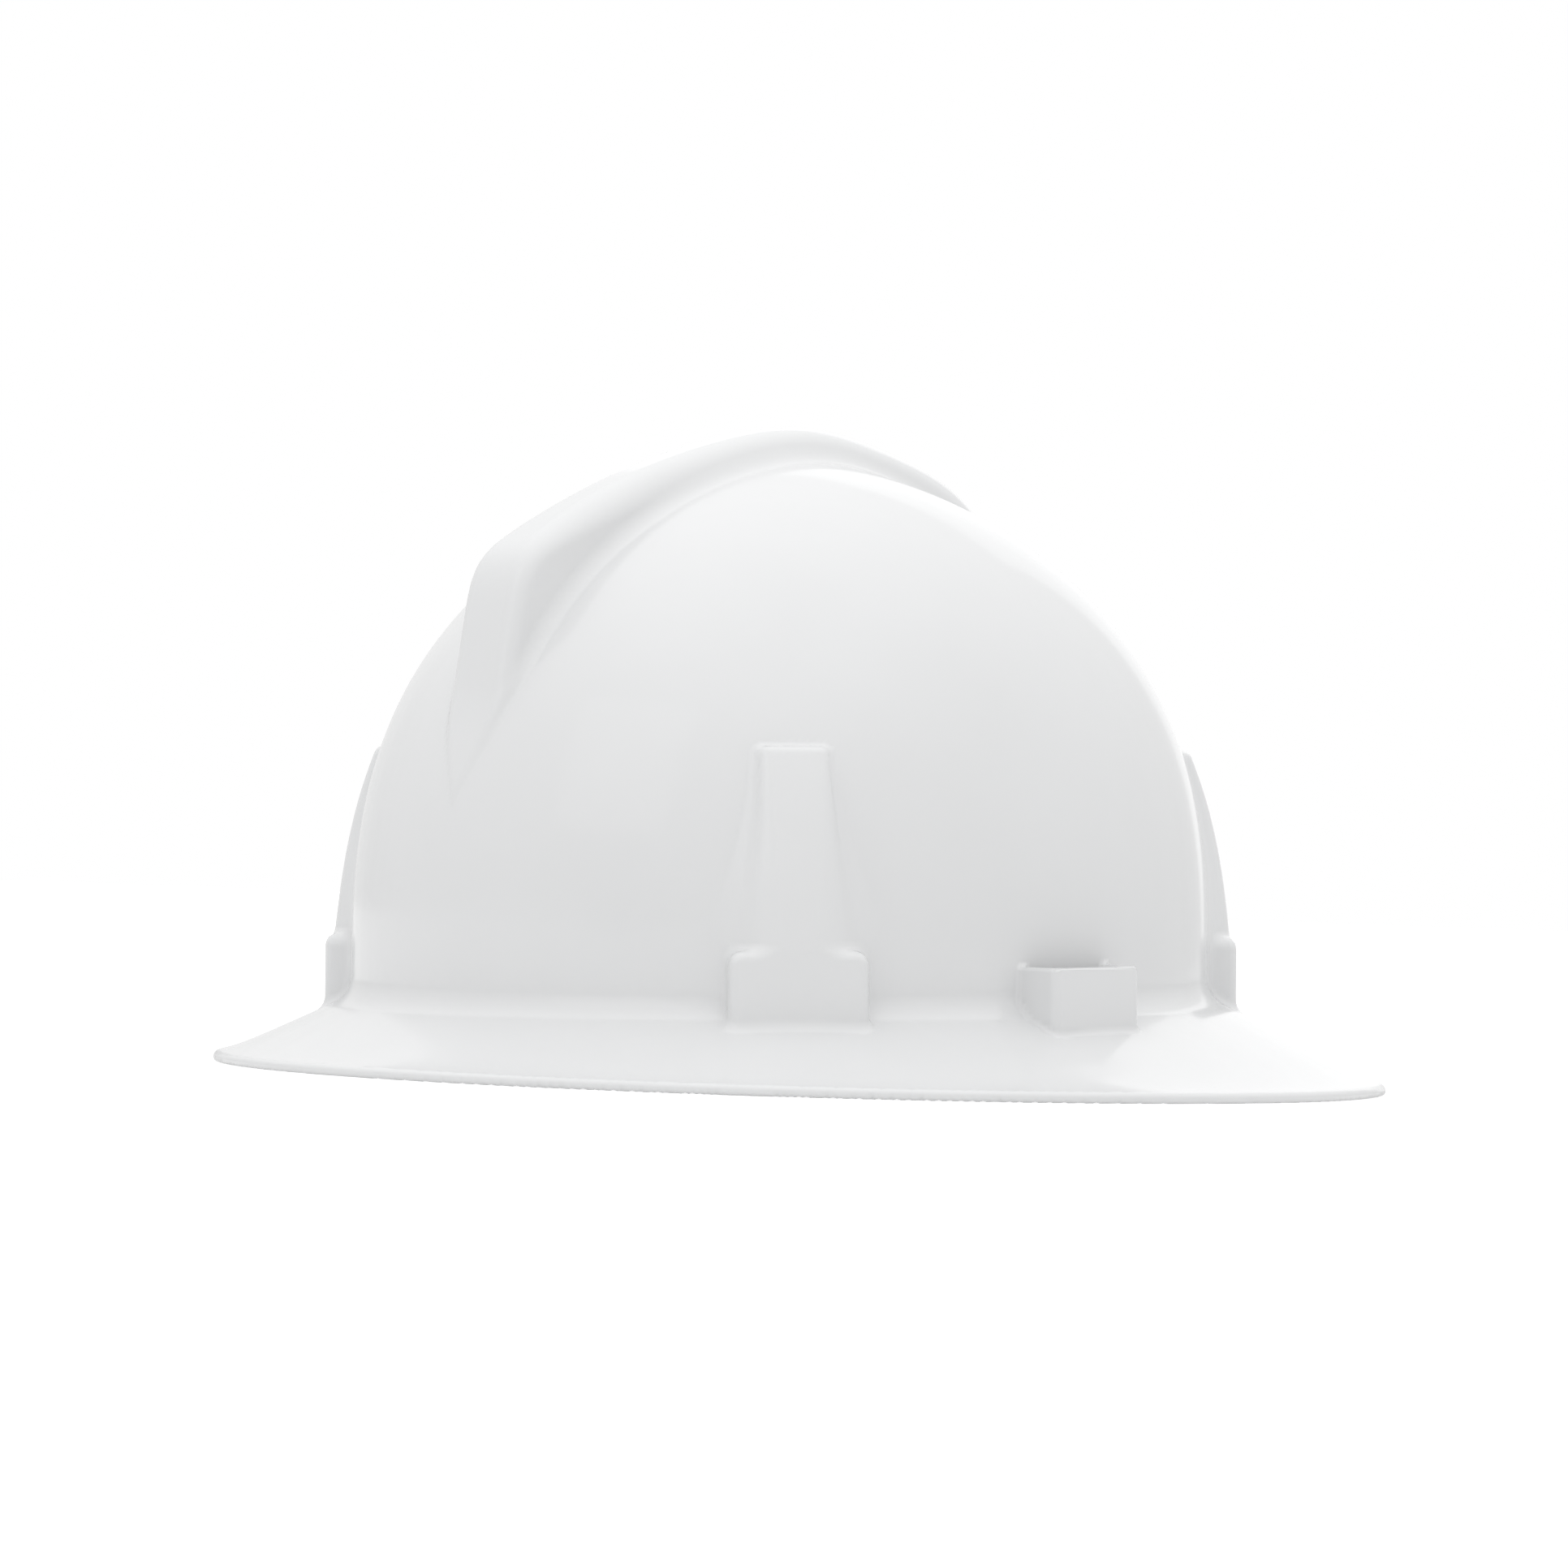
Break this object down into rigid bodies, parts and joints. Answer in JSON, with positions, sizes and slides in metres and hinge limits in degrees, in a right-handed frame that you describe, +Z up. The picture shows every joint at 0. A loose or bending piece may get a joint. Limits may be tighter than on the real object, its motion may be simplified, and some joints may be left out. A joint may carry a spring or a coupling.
{
  "type": "full brim hard hat",
  "caption": "Full brim hard hat: hollow domed shell with a raised crest, suspension lugs and accessory pockets, over a strap cradle and a headband with a ratchet adjuster.",
  "frame": {"origin": "middle of the brim's outline, on the plane that the brim's edge rests on", "axes": "+Z up through the crown, +X towards the wearer's left, +Y towards the back of the hat; the front of the brim is at -Y"},
  "size_m": [0.2896, 0.318, 0.168],
  "materials": {
    "shell_plastic": "smooth moulded gloss",
    "suspension_plastic": "moulded satin",
    "webbing": "woven tape",
    "pad_cloth": "knitted cloth over foam",
    "stud_plastic": "moulded satin",
    "ratchet_plastic": "fine grained",
    "screw_steel": "zinc plated",
    "gear_plastic": "smooth",
    "knob_plastic": "fine grained"
  },
  "bodies": {
    "hat": {"shell": "shell_plastic", "key_front_left": "suspension_plastic", "key_front_right": "suspension_plastic", "key_rear_left": "suspension_plastic", "key_rear_right": "suspension_plastic", "crown_strap_lower": "webbing", "crown_strap_upper": "webbing", "crown_pad": "pad_cloth", "headband": "suspension_plastic", "brow_pad": "pad_cloth", "brow_pad_studs": "stud_plastic", "nape_pad": "pad_cloth", "ratchet_frame": "ratchet_plastic", "ratchet_cover": "ratchet_plastic", "ratchet_screws": "screw_steel", "detent_ring": "gear_plastic"},
    "knob": {"knob": "knob_plastic", "knob_screw": "screw_steel", "knob_cap": "knob_plastic", "pinion_shaft": "gear_plastic", "pawl_spring": "gear_plastic"},
    "left_tail": {"left_band_tail": "suspension_plastic"},
    "right_tail": {"right_band_tail": "suspension_plastic"}
  },
  "joints": [
    {"name": "knob_turn", "type": "hinge", "parent": "hat", "child": "knob", "pos_m": [0, 0.09124, 0.02048], "axis": [0, 0.9994, 0.0358], "range_deg": [-195, 195]},
    {"name": "left_tail_slide", "type": "hinge", "parent": "hat", "child": "left_tail", "pos_m": [0, 0.0043, 0.01737], "axis": [0, -0.0358, 0.9994], "range_deg": [-13.3, 13.3]},
    {"name": "right_tail_slide", "type": "hinge", "parent": "hat", "child": "right_tail", "pos_m": [0, 0.0043, 0.01737], "axis": [0, -0.0358, 0.9994], "range_deg": [-13, 13]}
  ],
  "couplings": [
    {"joint": "left_tail_slide", "follows": "knob_turn", "ratio": -0.06729},
    {"joint": "right_tail_slide", "follows": "knob_turn", "ratio": 0.06596}
  ]
}
